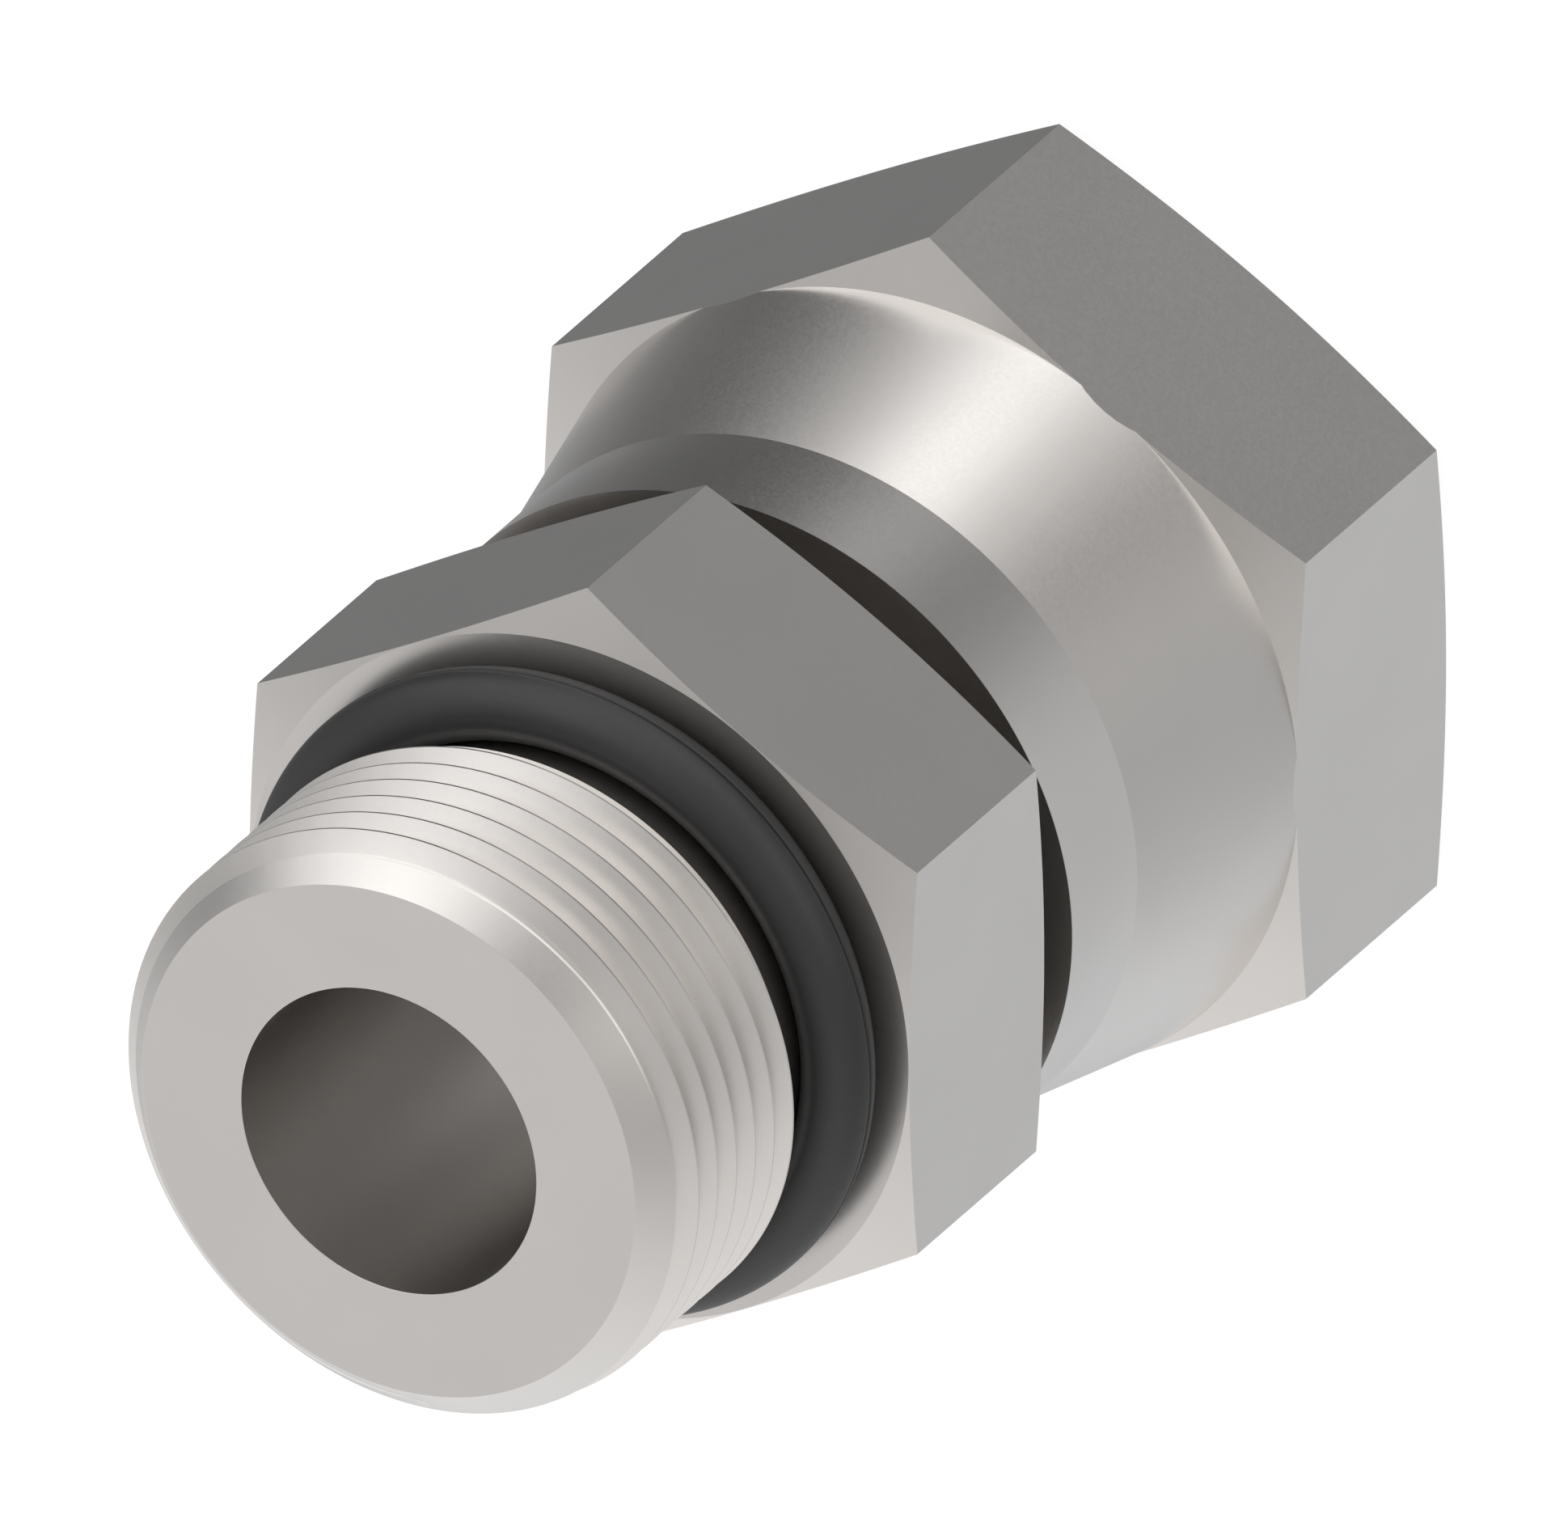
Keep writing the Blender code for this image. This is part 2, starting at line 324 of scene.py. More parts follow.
class Tree:
    """A short way to add nodes to a tree and link them."""

    def __init__(self, tree):
        self.tree = tree

    def node(self, kind, inputs=None, **settings):
        """A node with its settings, and with each input linked or given a value."""
        made = self.tree.nodes.new(kind)
        for name, value in settings.items():
            setattr(made, name, value)
        for key, value in (inputs or {}).items():
            socket = made.inputs[key]
            if isinstance(value, bpy.types.NodeSocket):
                self.tree.links.new(value, socket)
            else:
                socket.default_value = value
        return made

    def math(self, operation, *values):
        return self.node("ShaderNodeMath", dict(enumerate(values)), operation=operation).outputs[0]

    def vector(self, **parts):
        return self.node("ShaderNodeCombineXYZ", parts).outputs[0]

    def parts(self, vector):
        return self.node("ShaderNodeSeparateXYZ", {"Vector": vector}).outputs

    def moved(self, vector, **inputs):
        return self.node("ShaderNodeMapping", {"Vector": vector, **inputs}).outputs[0]

    def noise(self, vector, scale, detail, **inputs):
        wanted = {"Vector": vector, "Scale": scale, "Detail": detail, **inputs}
        return self.node("ShaderNodeTexNoise", wanted).outputs["Fac"]

    def attribute(self, name):
        return self.node("ShaderNodeAttribute", attribute_name=name).outputs["Fac"]

    def clouded(self, noise, tone, spread):
        """A colour that drifts by a small share either way."""
        ramp = self.node("ShaderNodeValToRGB", {"Fac": noise})
        ends = zip(ramp.color_ramp.elements, (NOISE_LOW, NOISE_HIGH), (1 - spread, 1 + spread))
        for element, position, share in ends:
            element.position = position
            element.color = (*(part * share for part in tone), 1.0)
        return ramp.outputs["Color"]

    def dimmed(self, tone, share):
        """A colour times a share."""
        scaled = self.node("ShaderNodeVectorMath", {0: tone, "Scale": share}, operation="SCALE")
        return scaled.outputs["Vector"]

    def uneven(self, noise, middle, spread):
        """A roughness that varies a little either way."""
        return self.node(
            "ShaderNodeMapRange",
            {
                "Value": noise,
                "From Min": NOISE_LOW,
                "From Max": NOISE_HIGH,
                "To Min": middle - spread,
                "To Max": middle + spread,
            },
        ).outputs[0]

    def bumped(self, height, strength):
        wanted = {"Height": height, "Strength": strength, "Distance": GRAIN_DEPTH}
        return self.node("ShaderNodeBump", wanted).outputs[0]


def threaded_hexagon_tree():
    """Trims a turned blank to a hexagon bar and cuts a screw thread into it."""
    group = bpy.data.node_groups.new("Threaded Hexagon", "GeometryNodeTree")
    group.interface.new_socket("Geometry", in_out="OUTPUT", socket_type="NodeSocketGeometry")
    for name, kind in (
        ("Turned Blank", "Geometry"),
        ("Across Flats", "Float"),
        ("Corner Radius", "Float"),
        ("Bar Length", "Float"),
        ("Groove Section", "Object"),
        ("Thread Radius", "Float"),
        ("Pitch", "Float"),
        ("Turns", "Float"),
        ("Thread Start", "Float"),
        ("Steps per Turn", "Int"),
        ("Material", "Material"),
    ):
        group.interface.new_socket(name, in_out="INPUT", socket_type="NodeSocket" + kind)
    tree = Tree(group)
    given = tree.node("NodeGroupInput").outputs

    corner = tree.math("DIVIDE", given["Across Flats"], math.sqrt(3))
    hexagon = tree.node(
        "GeometryNodeCurvePrimitiveCircle",
        {"Resolution": HEX_SIDES, "Radius": corner},
        mode="RADIUS",
    )
    eased = tree.node(
        "GeometryNodeFilletCurve",
        {"Curve": hexagon.outputs[0], "Radius": given["Corner Radius"], "Count": CORNER_STEPS},
        mode="POLY",
    )
    axis = tree.node(
        "GeometryNodeCurvePrimitiveLine",
        {"Start": (0.0, 0.0, -OVERRUN), "End": tree.vector(Z=given["Bar Length"])},
    )
    bar = tree.node(
        "GeometryNodeCurveToMesh",
        {"Curve": axis.outputs[0], "Profile Curve": eased.outputs[0], "Fill Caps": True},
    )
    trimmed = tree.node("GeometryNodeMeshBoolean", operation="INTERSECT", solver="EXACT")
    group.links.new(given["Turned Blank"], trimmed.inputs["Mesh 2"])
    group.links.new(bar.outputs[0], trimmed.inputs["Mesh 2"])

    helix = tree.node(
        "GeometryNodeCurveSpiral",
        {
            "Resolution": given["Steps per Turn"],
            "Rotations": given["Turns"],
            "Start Radius": given["Thread Radius"],
            "End Radius": given["Thread Radius"],
            "Height": tree.math("MULTIPLY", given["Pitch"], given["Turns"]),
            "Reverse": True,
        },
    )
    placed = tree.node(
        "GeometryNodeTransform",
        {"Geometry": helix.outputs[0], "Translation": tree.vector(Z=given["Thread Start"])},
    )
    upright = tree.node("GeometryNodeSetCurveNormal", {"Curve": placed.outputs[0]}, mode="Z_UP")
    section = tree.node("GeometryNodeObjectInfo", {"Object": given["Groove Section"]})
    section_curve = tree.node("GeometryNodeMeshToCurve", {"Mesh": section.outputs["Geometry"]})
    groove = tree.node(
        "GeometryNodeCurveToMesh",
        {
            "Curve": upright.outputs[0],
            "Profile Curve": section_curve.outputs[0],
            "Fill Caps": True,
        },
    )
    cut = tree.node(
        "GeometryNodeMeshBoolean",
        {"Mesh 1": trimmed.outputs["Mesh"], "Mesh 2": groove.outputs[0]},
        operation="DIFFERENCE",
        solver="EXACT",
    )
    real = tree.node("GeometryNodeRealizeInstances", {"Geometry": cut.outputs["Mesh"]})
    coated = tree.node(
        "GeometryNodeSetMaterial",
        {"Geometry": real.outputs[0], "Material": given["Material"]},
    )
    end = tree.node("NodeGroupOutput")
    group.links.new(coated.outputs[0], end.inputs[0])
    return group


def cut_hexagon_and_thread(blank, values):
    """Runs the tree on a turned blank, with its inputs set by name."""
    group = bpy.data.node_groups.get("Threaded Hexagon") or threaded_hexagon_tree()
    step = blank.modifiers.new("threaded hexagon", "NODES")
    step.node_group = group
    for item in group.interface.items_tree:
        if item.in_out == "INPUT" and item.name in values:
            step[item.identifier] = values[item.name]
    bake_modifiers(blank)
    bpy.data.objects.remove(values["Groove Section"], do_unlink=True)
    if not blank.data.polygons:
        raise RuntimeError(f"{blank.name}: the cuts left nothing")


def finish_steel(piece):
    """Sharp edges where surfaces meet, and plain normals on wide faces beside broken edges."""
    built = bmesh.new()
    built.from_mesh(piece.data)
    bmesh.ops.dissolve_degenerate(built, dist=SLIVER_LENGTH, edges=built.edges)
    bmesh.ops.triangulate(built, faces=[face for face in built.faces if len(face.verts) > 4])
    built.to_mesh(piece.data)
    built.free()
    mark_flats(piece.data)
    piece.data.shade_smooth()
    piece.data.set_sharp_from_angle(angle=SHARP_ANGLE)
    weighted = piece.modifiers.new("normals", "WEIGHTED_NORMAL")
    weighted.mode = "FACE_AREA"
    weighted.keep_sharp = True
    bake_modifiers(piece)


def mark_flats(mesh):
    """Writes 1 on the spanner flats and 0 on the other faces, to turn the machining marks."""
    flat = mesh.attributes.new("spanner_flat", "FLOAT", "FACE")
    for face in mesh.polygons:
        across, out = face.normal.xy, face.center.xy
        turn = math.degrees(math.atan2(across.y, across.x)) % HEX_STEP
        on_side = across.length > LEVEL_SHARE and across.dot(out) > out.length * OUTWARD_SHARE
        flat.data[face.index].value = float(on_side and abs(turn - HEX_STEP / 2) < FLAT_TOLERANCE)


# Materials


def new_material(name):
    """A material without nodes, and the way to add them."""
    material = bpy.data.materials.new(name)
    material.use_nodes = True
    material.node_tree.nodes.clear()
    return material, Tree(material.node_tree)


def finished(tree, material, tone, inputs):
    """Ends a material in its shader, with its colour shown in plain views too."""
    shader = tree.node("ShaderNodeBsdfPrincipled", inputs)
    tree.node("ShaderNodeOutputMaterial", {"Surface": shader.outputs[0]})
    material.diffuse_color = (*tone, 1.0)
    return material


def plated_steel(name, settings, seed):
    """Satin plating: fine grain, turning marks round the axis, and faint lines along the flats.

    Painted shade darkens the base colour in the running gap between the body and the nut.
    """
    material, tree = new_material(name)
    place = tree.node("ShaderNodeTexCoord").outputs["Object"]
    shifted = tree.moved(place, Location=(0.0, 0.0, seed * SEED_SHIFT))
    parts = tree.parts(shifted)
    radius = tree.node(
        "ShaderNodeVectorMath", {0: tree.vector(X=parts["X"], Y=parts["Y"])}, operation="LENGTH"
    ).outputs["Value"]
    turning = tree.noise(tree.vector(X=radius, Z=parts["Z"]), TURNING_SCALE, 2.0)
    drawn = tree.noise(tree.moved(shifted, Scale=(1.0, 1.0, DRAWN_STRETCH)), DRAWN_SCALE, 2.0)
    grain = tree.noise(shifted, STEEL_GRAIN_SCALE, 2.0, Roughness=0.6)
    cloud = tree.noise(shifted, STEEL_CLOUD_SCALE, 3.0)

    marks = tree.node(
        "ShaderNodeMix",
        {"Factor": tree.attribute("spanner_flat"), "A": turning, "B": drawn},
        data_type="FLOAT",
    ).outputs[0]
    grain_share = tree.math("MULTIPLY", grain, 1 - MARKS_SHARE)
    height = tree.math("MULTIPLY_ADD", marks, MARKS_SHARE, grain_share)

    # Painted shade: the base colour is made darker in the gap between the body's hexagon and the
    # nut.
    in_gap = gap_mask(tree, tree.parts(place)["Z"], radius, settings.edge_break)
    painted_gap_shade = tree.math("MULTIPLY_ADD", in_gap, -settings.gap_shade_share, 1.0)
    tone = tree.clouded(cloud, settings.steel, STEEL_TONE_SPREAD)
    return finished(
        tree,
        material,
        settings.steel,
        {
            "Base Color": tree.dimmed(tone, painted_gap_shade),
            "Metallic": 1.0,
            "Roughness": tree.uneven(grain, settings.steel_roughness, STEEL_ROUGH_SPREAD),
            "Normal": tree.bumped(height, STEEL_BUMP),
        },
    )


def gap_mask(tree, level, radius, margin):
    """1 between the body's hexagon and the nut's lip, outside the bore, where shade is painted, and
    0 elsewhere.
    """
    body = bpy.context.scene.adapter_body_sizes
    hex_bottom = STUD_TOP - body.stud_length - body.hex_length
    above_nut = tree.math("GREATER_THAN", level, NUT_TOP - margin)
    below_body = tree.math("LESS_THAN", level, hex_bottom + margin)
    outside_bore = tree.math("GREATER_THAN", radius, body.bore_diameter / 2 + margin)
    return tree.math("MULTIPLY", tree.math("MULTIPLY", above_nut, below_body), outside_bore)


def black_rubber(settings):
    """Moulded rubber: a soft sheen, a fine matt grain, a faint bloom, and a moulding line whose
    colour and sheen are darkened as painted shade.
    """
    material, tree = new_material("black_rubber_finish")
    place = tree.node("ShaderNodeTexCoord").outputs["Object"]
    grain = tree.noise(place, RUBBER_GRAIN_SCALE, 3.0)
    bloom = tree.noise(place, RUBBER_BLOOM_SCALE, 2.0)
    tone = tree.clouded(bloom, settings.rubber, RUBBER_TONE_SPREAD)
    # Painted shade: the moulding line's colour and sheen are darkened by the shade's share, more
    # where the line is deeper.
    lit = tree.math("MULTIPLY_ADD", tree.attribute("moulding_line"), -LINE_SHADE, 1.0)
    return finished(
        tree,
        material,
        settings.rubber,
        {
            "Base Color": tree.dimmed(tone, lit),
            "Roughness": tree.uneven(grain, settings.rubber_roughness, RUBBER_ROUGH_SPREAD),
            "Specular IOR Level": tree.math("MULTIPLY", lit, settings.rubber_sheen),
            "Normal": tree.bumped(grain, RUBBER_BUMP),
        },
    )


# Outlines of the pieces


def thread_groove(pitch, crest_share, depth_sign, root_radius=0.0, root_share=0.0):
    """The section of a thread's groove round the origin, which lies on the crest line.

    The first axis points into the metal and the second along the thread's axis. A root radius makes
    the bottom round, and otherwise it is a flat of a share of the pitch.
    """
    slope = math.tan(FLANK_ANGLE)
    half_width = pitch * (1 - crest_share) / 2
    half_mouth = half_width + GROOVE_OVERRUN / slope
    if root_radius:
        centre = slope * half_width - 2 * root_radius
        turns = [FLANK_ANGLE * (1 - 2 * step / ROOT_STEPS) for step in range(ROOT_STEPS + 1)]
        root = [(centre + root_radius * math.cos(a), root_radius * math.sin(a)) for a in turns]
    else:
        half_root = pitch * root_share / 2
        depth = slope * (half_width - half_root)
        root = [(depth, half_root), (depth, -half_root)]
    points = [(-OVERRUN, half_mouth), (-GROOVE_OVERRUN, half_mouth)]
    points += root
    points += [(-GROOVE_OVERRUN, -half_mouth), (-OVERRUN, -half_mouth)]
    placed = [(depth_sign * x, y) for x, y in points]
    return placed if depth_sign < 0 else placed[::-1]


def body_corners(body, finish):
    """The body's outline as (radius, height, edge radius), from the stud's end down to the nose."""
    edge = finish.edge_break
    slope = math.tan(finish.hex_chamfer_angle)
    crest = body.thread_diameter / 2
    undercut = body_undercut()
    hex_top = STUD_TOP - body.stud_length
    hex_bottom = hex_top - body.hex_length
    thread_bottom = STUD_TOP - body.thread_length
    face = body.across_flats / 2 - FACE_SETBACK
    flange = body.across_flats / math.sqrt(3) + OVERRUN
    drop = slope * (flange - face)
    groove = body.tail_groove / 2
    collar = body.collar_diameter / 2
    collar_top = NUT_TOP - COLLAR_DROP
    collar_bottom = collar_top - COLLAR_LENGTH
    tail_bottom = collar_bottom - TAIL_LENGTH
    tip = body.nose_diameter / 2
    bore = body.bore_diameter / 2
    return [
        (crest - body.end_chamfer, STUD_TOP, edge),
        (crest, STUD_TOP - body.end_chamfer, 0.0),
        (crest, thread_bottom, 0.0),
        (undercut, thread_bottom - (crest - undercut), UNDERCUT_ROUND),
        (undercut, hex_top, UNDERCUT_ROUND),
        (face, hex_top, 0.0),
        (flange, hex_top - drop, 0.0),
        (flange, hex_bottom + drop, 0.0),
        (face, hex_bottom, 0.0),
        (groove, hex_bottom, GROOVE_ROUND),
        (groove, collar_top, SMALL_ROUND),
        (collar, collar_top, FINE_ROUND),
        (collar, collar_bottom, WIDE_ROUND),
        (TAIL_RADIUS, collar_bottom - (collar - TAIL_RADIUS), TAIL_ROUND),
        (TAIL_RADIUS, tail_bottom, SMALL_ROUND),
        (tip, NOSE_TIP, NOSE_ROUND),
        (bore, NOSE_TIP, NOSE_ROUND),
        (bore, STUD_TOP, edge),
    ]


def body_undercut():
    """Radius of the undercut, just inside the ring."""
    ring = bpy.context.scene.adapter_ring_sizes
    return ring.middle_radius - ring.wire_diameter / 2 - RING_GAP


def nut_corners(nut, finish):
    """The nut's outline as (radius, height, edge radius), from its lip down and back up inside."""
    edge = finish.edge_break
    slope = math.tan(finish.hex_chamfer_angle)
    neck = nut.neck_diameter / 2
    shoulder = nut.shoulder_diameter / 2
    shoulder_bottom = NUT_TOP - nut.neck_length - nut.shoulder_length
    flange = nut.across_flats / math.sqrt(3) + OVERRUN
    face = nut.end_face / 2
    bore = nut.bore_diameter / 2
    relief = bore + nut.relief_depth
    relief_top = nut.thread_length + nut.relief_length
    lip = bpy.context.scene.adapter_body_sizes.tail_groove / 2 + LIP_GAP
    lip_bottom = NUT_TOP - nut.lip_thickness
    return [
        (lip, NUT_TOP, WIDE_ROUND),
        (neck, NUT_TOP, 0.0),
        (neck, NUT_TOP - nut.neck_length, 0.0),
        (shoulder, shoulder_bottom, 0.0),
        (flange, shoulder_bottom - slope * (flange - shoulder), 0.0),
        (flange, slope * (flange - face), 0.0),
        (face, 0.0, edge),
        (bore + nut.mouth_chamfer, 0.0, edge),
        (bore, nut.mouth_chamfer, 0.0),
        (bore, nut.thread_length, 0.0),
        (relief, nut.thread_length, SMALL_ROUND),
        (relief, relief_top, SMALL_ROUND),
        (bore, relief_top, FINE_ROUND),
        (bore, lip_bottom, WIDE_ROUND),
        (lip, lip_bottom, FINE_ROUND),
    ]


def ring_corners(ring, middle):
    """The outline of the ring's wire round its middle height, with the moulding line outside."""
    wire = ring.wire_diameter / 2
    half_line = ring.parting_width / 2 / wire
    points = [(side * half_line, wire - ring.parting_depth * deep) for side, deep in MOULDING_LINE]
    for step in range(RING_STEPS):
        turn = math.remainder(step / RING_STEPS * math.tau, math.tau)
        if abs(turn) > LINE_CLEARANCE * half_line:
            points.append((turn, wire))
    points.sort(reverse=True)
    return [
        (ring.middle_radius + reach * math.cos(turn), middle + reach * math.sin(turn), 0.0)
        for turn, reach in points
    ]


# Operators


class ADAPTER_OT_body(bpy.types.Operator):
    """Make the body: port stud with its thread, hexagon, and the tail inside the nut"""

    bl_idname = "adapter.body"
    bl_label = "Adapter Body"
    bl_options = {"REGISTER", "UNDO"}

    def execute(self, context):
        body = context.scene.adapter_body_sizes
        finish = context.scene.adapter_finishes
        blank = turned("adapter_body_finish", body_corners(body, finish))
        groove = thread_groove(body.thread_pitch, STUD_CREST, -1, root_radius=body.root_radius)
        section = outline_object("stud_groove_section", groove, flat=True)
        turns = math.ceil((body.thread_length - body.thread_phase) / body.thread_pitch + 0.5) + 1
        cut_hexagon_and_thread(
            blank,
            {
                "Across Flats": body.across_flats,
                "Corner Radius": finish.edge_break,
                "Bar Length": STUD_TOP + OVERRUN,
                "Groove Section": section,
                "Thread Radius": body.thread_diameter / 2,
                "Pitch": body.thread_pitch,
                "Turns": float(turns),
                "Thread Start": STUD_TOP - body.thread_phase - (turns - 1) * body.thread_pitch,
                "Steps per Turn": THREAD_STEPS,
                "Material": plated_steel("body_steel_finish", finish, finish.seed),
            },
        )
        finish_steel(blank)
        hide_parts("adapter_body")
        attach(blank, "adapter")
        return {"FINISHED"}


class ADAPTER_OT_nut(bpy.types.Operator):
    """Make the swivel nut: rolled lip, neck and cone, hexagon, and the thread inside"""

    bl_idname = "adapter.nut"
    bl_label = "Swivel Nut"
    bl_options = {"REGISTER", "UNDO"}

    def execute(self, context):
        nut = context.scene.adapter_nut_sizes
        finish = context.scene.adapter_finishes
        blank = turned("swivel_nut_finish", nut_corners(nut, finish))
        groove = thread_groove(nut.thread_pitch, NUT_CREST, 1, root_share=NUT_ROOT)
        section = outline_object("nut_groove_section", groove, flat=True)
        top_turn = nut.thread_length + nut.relief_length / 2
        turns = math.ceil(top_turn / nut.thread_pitch) + 1
        cut_hexagon_and_thread(
            blank,
            {
                "Across Flats": nut.across_flats,
                "Corner Radius": finish.edge_break,
                "Bar Length": NUT_TOP + OVERRUN,
                "Groove Section": section,
                "Thread Radius": nut.bore_diameter / 2,
                "Pitch": nut.thread_pitch,
                "Turns": float(turns),
                "Thread Start": top_turn - turns * nut.thread_pitch,
                "Steps per Turn": THREAD_STEPS,
                "Material": plated_steel("nut_steel_finish", finish, finish.seed + 1),
            },
        )
        finish_steel(blank)
        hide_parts("swivel_nut")
        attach(blank, "nut")
        return {"FINISHED"}


class ADAPTER_OT_ring(bpy.types.Operator):
    """Make the seal ring, with the moulding line round its outside"""

    bl_idname = "adapter.ring"
    bl_label = "Seal Ring"
    bl_options = {"REGISTER", "UNDO"}

    def execute(self, context):
        ring = context.scene.adapter_ring_sizes
        body = context.scene.adapter_body_sizes
        wire = ring.wire_diameter / 2
        middle = STUD_TOP - body.stud_length + wire + RING_LIFT
        made = turned("seal_ring", ring_corners(ring, middle))
        bake_modifiers(made)
        # Depth into the moulding line, which the rubber turns into painted shade.
        line = made.data.attributes.new("moulding_line", "FLOAT", "POINT")
        for vertex, value in zip(made.data.vertices, line.data):
            reach = math.hypot(vertex.co.xy.length - ring.middle_radius, vertex.co.z - middle)
            value.value = (wire - reach) / ring.parting_depth
        made.data.materials.append(black_rubber(context.scene.adapter_finishes))
        made.data.shade_smooth()
        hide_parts("o_ring")
        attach(made, "adapter")
        return {"FINISHED"}


class ADAPTER_OT_stage(bpy.types.Operator):
    """Make the floor, the studio light and the camera"""

    bl_idname = "adapter.stage"
    bl_label = "Stage"
    bl_options = {"REGISTER", "UNDO"}

    def execute(self, context):
        scene = context.scene
        stage = scene.adapter_stage
        scene.view_settings.view_transform = "Standard"
        make_world(scene)
        make_floor(stage)
        make_camera(scene, stage)
        return {"FINISHED"}


# Soft boxes of the studio as metal shows them: azimuth and elevation in degrees, strength,
# tightness and warmth. None is so strong that a spanner flat mirrors it as pure white.
SOFT_BOXES = (
    (-26, 39, 1.38, 6.7, 0.00),
    (-119, 13, 1.25, 11.8, 0.02),
    (-62, -28, 1.25, 31.5, 0.00),
    (-89, -10, 1.12, 60.0, 0.02),
    (-67, 4, 1.08, 10.7, 0.01),
    (-8, -1, 1.06, 27.1, -0.01),
    (-34, -10, 0.98, 25.2, 0.00),
    (76, 8, 0.85, 4.3, 0.00),
    (148, 40, 0.70, 2.7, 0.01),
    (133, -38, 0.57, 2.7, -0.03),
    (-125, 60, 0.43, 41.7, 0.02),
    (-138, -44, 0.37, 7.2, 0.00),
)
PLAIN_LIGHT = 0.9

# The floor lies just under the nut. Its paint takes the shadow, and its glow, which only the camera
# sees, makes it white.
FLOOR_DROP = 0.02 * MM
FLOOR_PAINT = (0.15, 0.15, 0.15, 1.0)
FLOOR_GLOW = 0.92

# The point that the camera aims at: below the stud's end face, and to one side of the axis.
AIM_DROP = 23.90 * MM
AIM_SHIFT = 0.626 * MM
CAMERA_CLIP = (0.01, 10.0)


def make_world(scene):
    """White to the camera, soft boxes to anything that mirrors, and plain light for the rest."""
    world = bpy.data.worlds.new("studio")
    world.use_nodes = True
    world.node_tree.nodes.clear()
    tree = Tree(world.node_tree)
    towards = tree.node("ShaderNodeTexCoord").outputs["Generated"]
    room = warm = 0.0
    for azimuth, elevation, strength, tightness, warmth in SOFT_BOXES:
        turn = Matrix.Rotation(math.radians(azimuth), 3, "Z")
        lift = Matrix.Rotation(-math.radians(elevation), 3, "Y")
        facing = tree.node(
            "ShaderNodeVectorMath", {0: towards, 1: (turn @ lift).col[0]}, operation="DOT_PRODUCT"
        ).outputs["Value"]
        fall = tree.math("EXPONENT", tree.math("MULTIPLY_ADD", facing, tightness, -tightness))
        room = tree.math("MULTIPLY_ADD", fall, strength, room)
        warm = tree.math("MULTIPLY_ADD", fall, strength * warmth, warm)
    red, blue = tree.math("ADD", room, warm), tree.math("SUBTRACT", room, warm)
    shown = tree.node("ShaderNodeCombineColor", {"Red": red, "Green": room, "Blue": blue})
    path = tree.node("ShaderNodeLightPath").outputs
    plain = tree.node("ShaderNodeBackground", {"Color": WHITE, "Strength": PLAIN_LIGHT})
    boxes = tree.node("ShaderNodeBackground", {"Color": shown.outputs[0]})
    white = tree.node("ShaderNodeBackground", {"Color": WHITE, "Strength": 1.0})
    light = tree.node(
        "ShaderNodeMixShader", {0: path["Is Glossy Ray"], 1: plain.outputs[0], 2: boxes.outputs[0]}
    )
    seen = tree.math("MAXIMUM", path["Is Camera Ray"], path["Is Transmission Ray"])
    glow = tree.node("ShaderNodeMixShader", {0: seen, 1: light.outputs[0], 2: white.outputs[0]})
    tree.node("ShaderNodeOutputWorld", {"Surface": glow.outputs[0]})
    world.cycles.sampling_method = "NONE"
    scene.world = world


def make_floor(stage):
    """A pale floor that keeps the object's soft shadow and is white to the camera elsewhere."""
    built = bmesh.new()
    bmesh.ops.create_grid(built, x_segments=1, y_segments=1, size=stage.floor_size / 2)
    floor = linked_object("floor", built)
    floor.location.z = -FLOOR_DROP
    material, tree = new_material("floor_white")
    paint = tree.node("ShaderNodeBsdfDiffuse", {"Color": FLOOR_PAINT})
    seen = tree.node("ShaderNodeLightPath").outputs["Is Camera Ray"]
    glow = tree.node("ShaderNodeEmission", {"Strength": tree.math("MULTIPLY", seen, FLOOR_GLOW)})
    both = tree.node("ShaderNodeAddShader", {0: paint.outputs[0], 1: glow.outputs[0]})
    tree.node("ShaderNodeOutputMaterial", {"Surface": both.outputs[0]})
    floor.data.materials.append(material)
    floor.visible_glossy = False
    floor.visible_shadow = False


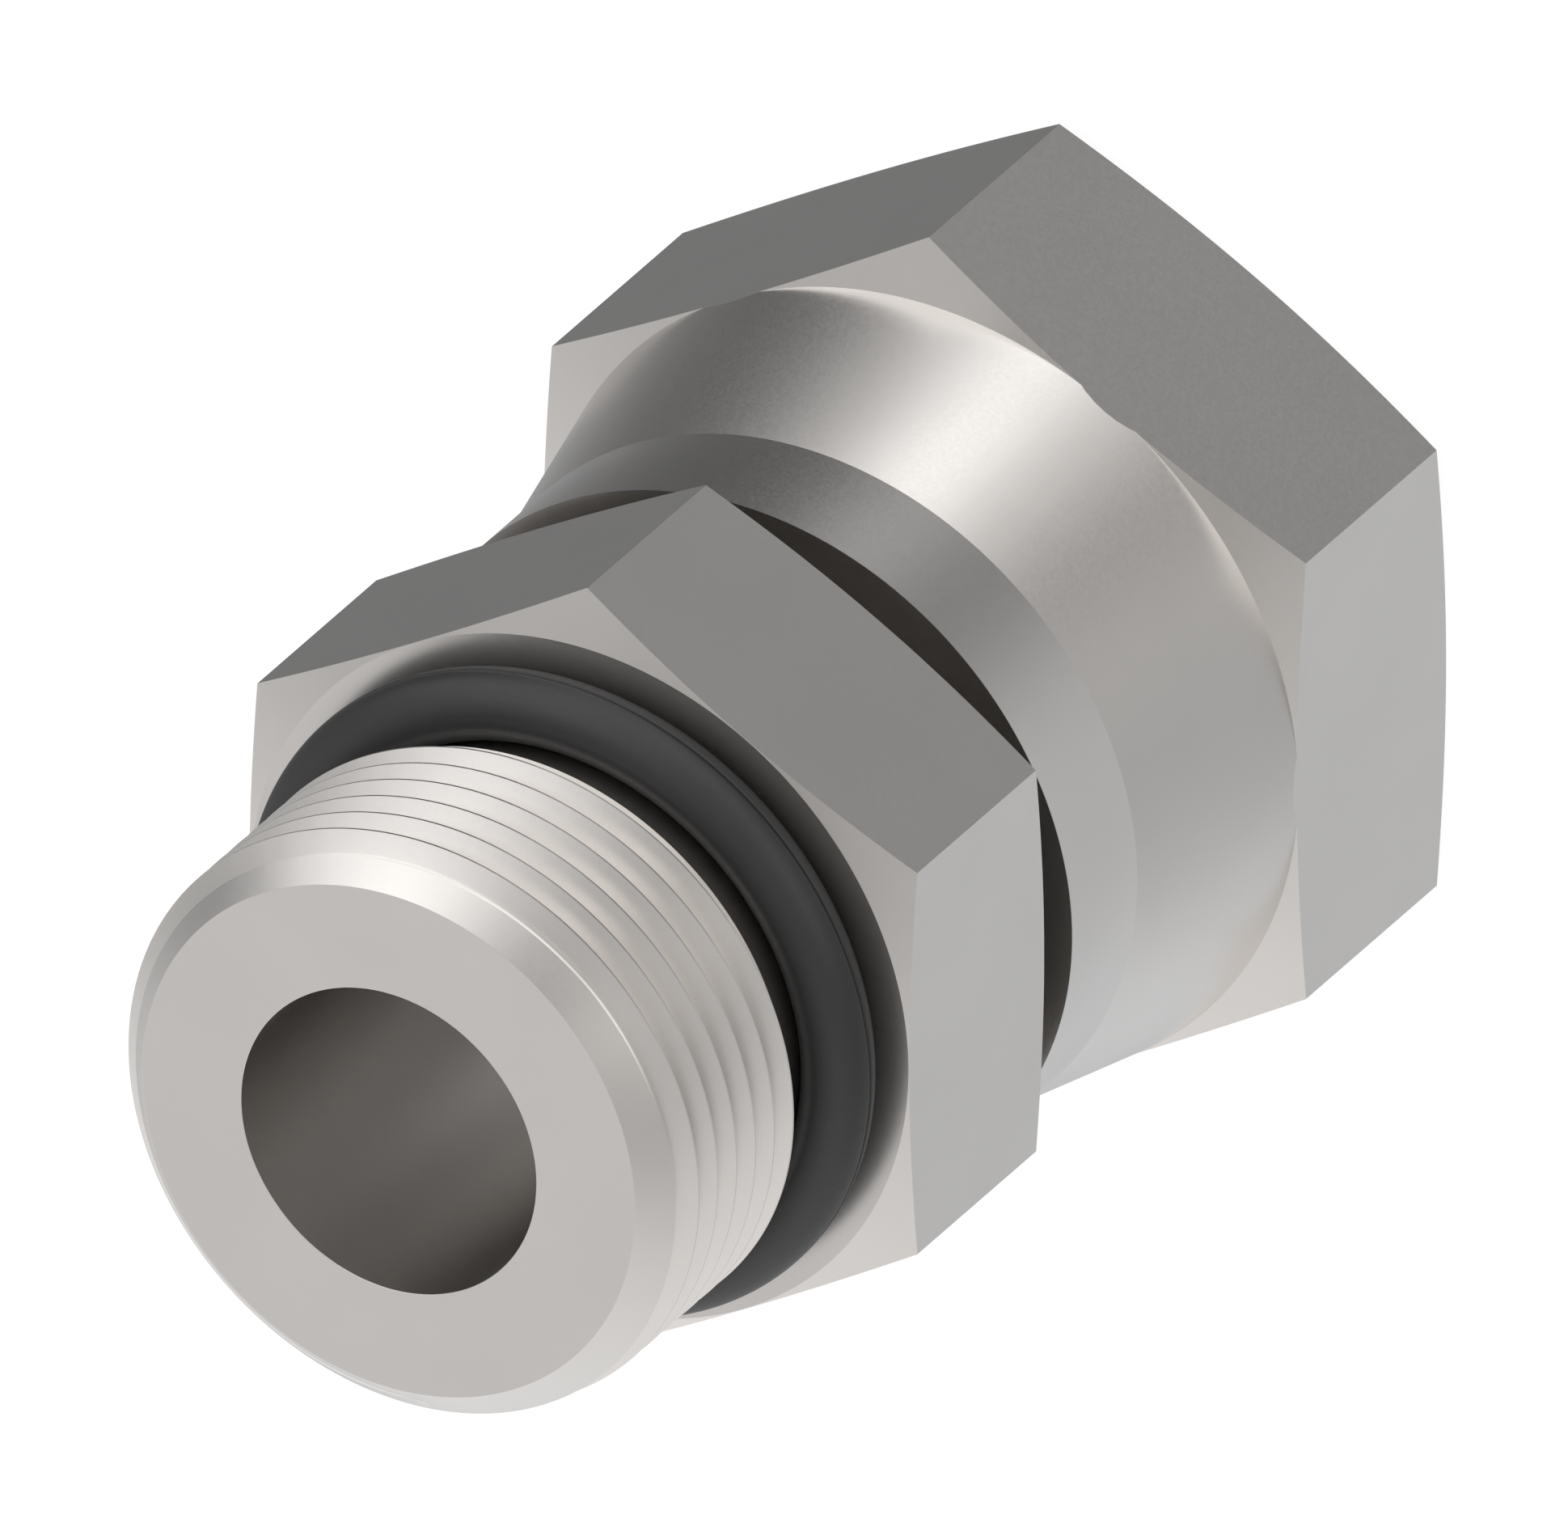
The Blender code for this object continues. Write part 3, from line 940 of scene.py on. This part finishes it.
def make_camera(scene, stage):
    """A parallel view from above the stud, rolled as in the photograph."""
    up = Vector((0.0, 0.0, 1.0))
    out = Vector((math.cos(stage.side), math.sin(stage.side), 0.0))
    across = out.cross(up)
    sight = math.cos(stage.tilt) * up + math.sin(stage.tilt) * out
    along = -math.sin(stage.tilt) * up + math.cos(stage.tilt) * out
    right = math.sin(stage.roll) * across + math.cos(stage.roll) * along
    top = -math.cos(stage.roll) * across + math.sin(stage.roll) * along
    aim = Vector((0.0, 0.0, STUD_TOP - AIM_DROP)) - AIM_SHIFT * across
    data = bpy.data.cameras.new("camera")
    data.type = "ORTHO"
    data.ortho_scale = stage.view_width
    data.clip_start, data.clip_end = CAMERA_CLIP
    camera = bpy.data.objects.new("camera", data)
    place = Matrix.Translation(aim + stage.camera_distance * sight)
    camera.matrix_world = place @ Matrix((right, top, sight)).transposed().to_4x4()
    scene.collection.objects.link(camera)
    scene.camera = camera


class ADAPTER_PT_pieces(bpy.types.Panel):
    """Sizes, finishes and buttons for the adapter"""

    bl_idname = "ADAPTER_PT_pieces"
    bl_label = "Straight Adapter"
    bl_space_type = "VIEW_3D"
    bl_region_type = "UI"
    bl_category = "Adapter"

    def draw(self, context):
        for name, group in GROUPS.items():
            column = self.layout.box().column()
            for key in group.__annotations__:
                column.prop(getattr(context.scene, name), key)
        for operator in OPERATORS:
            self.layout.operator(operator.bl_idname)


OPERATORS = (ADAPTER_OT_body, ADAPTER_OT_nut, ADAPTER_OT_ring, ADAPTER_OT_stage)
CLASSES = tuple(GROUPS.values()) + OPERATORS + (ADAPTER_PT_pieces,)


def register():
    for cls in CLASSES:
        bpy.utils.register_class(cls)
    for name, group in GROUPS.items():
        setattr(bpy.types.Scene, name, PointerProperty(type=group))


def unregister():
    for name in GROUPS:
        delattr(bpy.types.Scene, name)
    for cls in reversed(CLASSES):
        bpy.utils.unregister_class(cls)


def main():
    register()
    bpy.ops.adapter.stage()
    bpy.ops.adapter.body()
    bpy.ops.adapter.nut()
    bpy.ops.adapter.ring()


if __name__ == "__main__":
    main()
